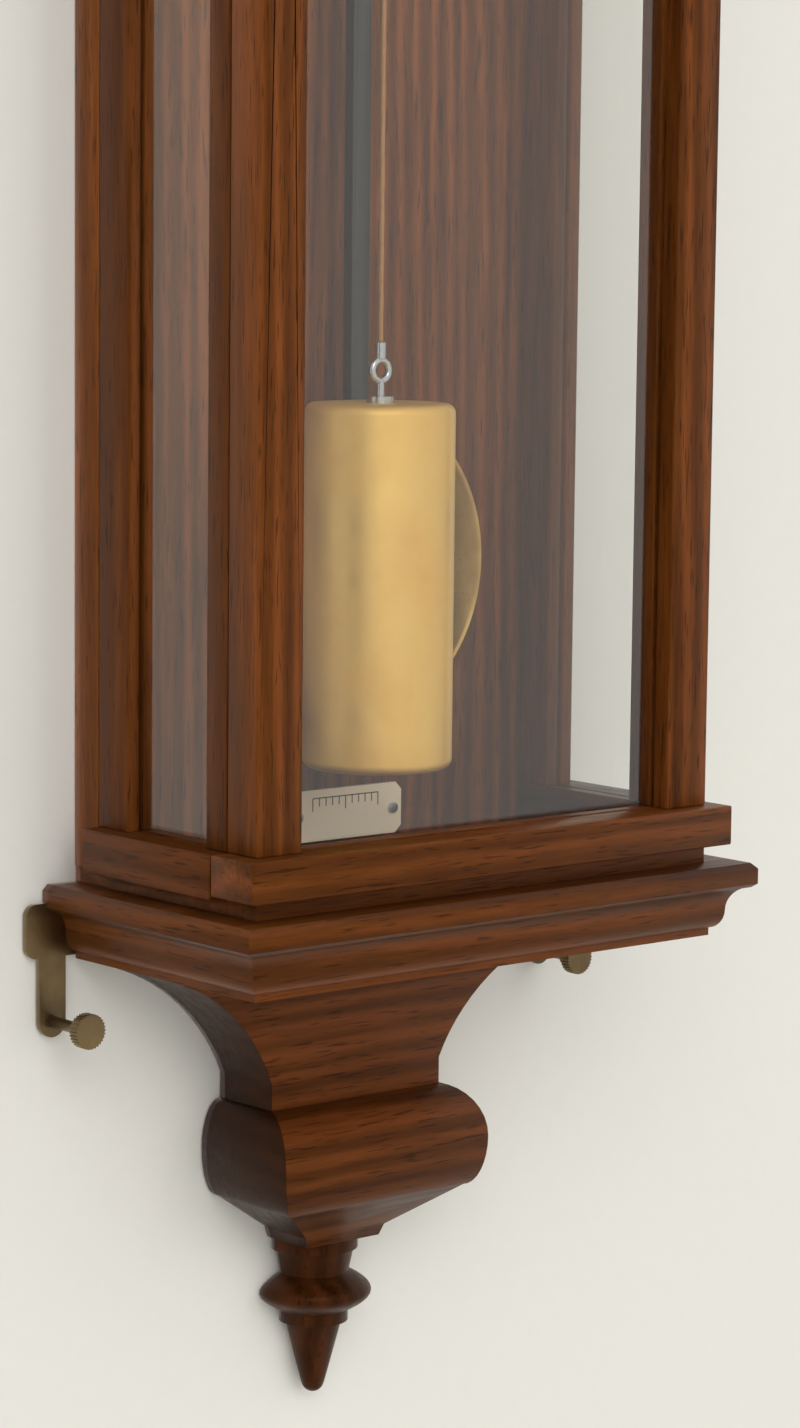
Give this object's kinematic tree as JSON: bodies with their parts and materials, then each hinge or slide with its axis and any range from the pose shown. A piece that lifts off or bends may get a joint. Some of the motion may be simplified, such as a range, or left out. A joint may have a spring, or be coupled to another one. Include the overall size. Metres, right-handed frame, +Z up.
{
  "type": "miniature weight-driven wall regulator clock",
  "caption": "Glazed wooden wall clock with hinged door, enamel dial, pendulum and brass driving weight, on a moulded base with corbel and drop finial.",
  "frame": {"origin": "centre of the hole in the hanger plate, on the plane of the wall", "axes": "+X to the viewer's right, +Y into the wall, +Z up"},
  "size_m": [0.182, 0.0928, 0.7095],
  "materials": {
    "walnut": "satin",
    "walnut_dark": "satin",
    "ebonised_wood": "satin",
    "glass": "gloss",
    "brass": "satin",
    "polished_brass": "gloss",
    "steel": "satin",
    "blued_steel": "gloss",
    "cast_iron": "matte",
    "enamel": "gloss",
    "gut": "satin"
  },
  "bodies": {
    "case": {"backboard": "walnut", "left_stiles": "walnut", "left_rails": "walnut_dark", "left_glass": "glass", "right_stiles": "walnut", "right_rails": "walnut_dark", "right_glass": "glass", "case_roof": "walnut", "case_floor": "walnut", "cornice": "walnut", "crest": "walnut", "finials": "walnut_dark", "base_moulding": "walnut", "corbel": "walnut_dark", "drop_finial": "walnut_dark", "beat_block": "walnut_dark", "beat_plate": "enamel", "hanger_plate": "steel", "case_screws": "steel", "levelling_brackets": "brass", "movement_bracket": "cast_iron", "back_plate": "brass", "front_plate": "brass", "pillars": "brass", "movement_screws": "blued_steel", "suspension_cock": "brass", "dial": "enamel", "bezel": "brass", "strike_plate": "brass", "case_hinges": "brass", "gut_line": "gut"},
    "door": {"door_left_stile": "walnut", "door_right_stile": "walnut", "door_top_rail": "walnut", "door_bottom_rail": "walnut_dark", "door_glass": "glass", "door_hinges": "brass", "lock_escutcheon": "brass"},
    "lock": {"door_key": "brass", "lock_tongue": "steel"},
    "level_left": {"levelling_screw_left": "brass"},
    "level_right": {"levelling_screw_right": "brass"},
    "pendulum": {"suspension_spring": "steel", "pendulum_rod": "ebonised_wood", "rod_fittings": "brass"},
    "bob_disc": {"bob": "brass"},
    "nut": {"rating_nut": "brass"},
    "pallets": {"anchor": "steel", "crutch": "steel"},
    "drum": {"barrel": "brass"},
    "great": {"great_wheel": "brass"},
    "pawl": {"click": "steel"},
    "centre": {"centre_wheel": "brass"},
    "third": {"third_wheel": "brass"},
    "escape": {"escape_wheel": "brass"},
    "minute": {"minute_hand": "blued_steel"},
    "hour": {"hour_hand": "blued_steel"},
    "motion": {"minute_wheel": "brass"},
    "drive_weight": {"weight": "polished_brass", "weight_hook": "steel"}
  },
  "joints": [
    {"name": "door_swing", "type": "hinge", "parent": "case", "child": "door", "pos_m": [0.0812, -0.06215, -0.2], "axis": [0, 0, 1], "range_deg": [0, 110]},
    {"name": "lock_turn", "type": "hinge", "parent": "door", "child": "lock", "pos_m": [-0.068, -0.068, -0.178], "axis": [0, 1, 0], "range_deg": [0, 90]},
    {"name": "level_left_turn", "type": "hinge", "parent": "case", "child": "level_left", "pos_m": [-0.083, -0.009, -0.461], "axis": [0, 1, 0], "range_deg": [-720, 720]},
    {"name": "level_right_turn", "type": "hinge", "parent": "case", "child": "level_right", "pos_m": [0.083, -0.009, -0.461], "axis": [0, 1, 0], "range_deg": [-720, 720]},
    {"name": "pendulum_swing", "type": "hinge", "parent": "case", "child": "pendulum", "pos_m": [0, -0.018, -0.02278], "axis": [0, 1, 0], "range_deg": [-3, 3]},
    {"name": "bob_rate", "type": "slide", "parent": "pendulum", "child": "bob_disc", "axis": [0, 0, 1], "range_m": [-0.002, 0.002]},
    {"name": "nut_turn", "type": "hinge", "parent": "bob_disc", "child": "nut", "pos_m": [0, -0.018, -0.391], "axis": [0, 0, 1], "range_deg": [-1441, 1441]},
    {"name": "pallet_rock", "type": "hinge", "parent": "case", "child": "pallets", "pos_m": [0, -0.028, -0.02278], "axis": [0, 1, 0], "range_deg": [-3.05, 3.05]},
    {"name": "weight_fall", "type": "slide", "parent": "case", "child": "drive_weight", "axis": [0, 0, 1], "range_m": [0, 0.17], "deforming": ["gut_line"]},
    {"name": "barrel_turn", "type": "hinge", "parent": "case", "child": "drum", "pos_m": [0, -0.04, -0.088], "axis": [0, 1, 0], "range_deg": [-1, 746]},
    {"name": "escape_turn", "type": "hinge", "parent": "case", "child": "escape", "pos_m": [0, -0.032, -0.039], "axis": [0, 1, 0], "continuous": true},
    {"name": "third_turn", "type": "hinge", "parent": "case", "child": "third", "pos_m": [0.01487, -0.037, -0.04445], "axis": [0, 1, 0], "continuous": true},
    {"name": "centre_turn", "type": "hinge", "parent": "case", "child": "centre", "pos_m": [0, -0.048, -0.062], "axis": [0, 1, 0], "continuous": true},
    {"name": "great_turn", "type": "hinge", "parent": "case", "child": "great", "pos_m": [0, -0.03, -0.088], "axis": [0, 1, 0], "continuous": true},
    {"name": "click_lift", "type": "hinge", "parent": "great", "child": "pawl", "pos_m": [-0.01269, -0.0318, -0.08338], "axis": [0, -1, 0], "range_deg": [0, 12], "stiffness_Nm_per_rad": 0.002, "springref_deg": -9.74},
    {"name": "minute_turn", "type": "hinge", "parent": "case", "child": "minute", "pos_m": [0, -0.056, -0.062], "axis": [0, 1, 0], "continuous": true},
    {"name": "motion_turn", "type": "hinge", "parent": "case", "child": "motion", "pos_m": [-0.012, -0.053, -0.062], "axis": [0, 1, 0], "continuous": true},
    {"name": "hour_turn", "type": "hinge", "parent": "case", "child": "hour", "pos_m": [0, -0.058, -0.062], "axis": [0, 1, 0], "continuous": true}
  ],
  "couplings": [
    {"joint": "nut_turn", "follows": "bob_rate", "rad_per_m": 12566},
    {"joint": "pallet_rock", "follows": "pendulum_swing", "ratio": 1},
    {"joint": "barrel_turn", "follows": "weight_fall", "rad_per_m": 76.046},
    {"joint": "third_turn", "follows": "escape_turn", "ratio": -0.1},
    {"joint": "centre_turn", "follows": "escape_turn", "ratio": 0.0095238},
    {"joint": "great_turn", "follows": "escape_turn", "ratio": -0.00079365},
    {"joint": "motion_turn", "follows": "minute_turn", "ratio": -0.33333},
    {"joint": "hour_turn", "follows": "minute_turn", "ratio": 0.083333}
  ]
}
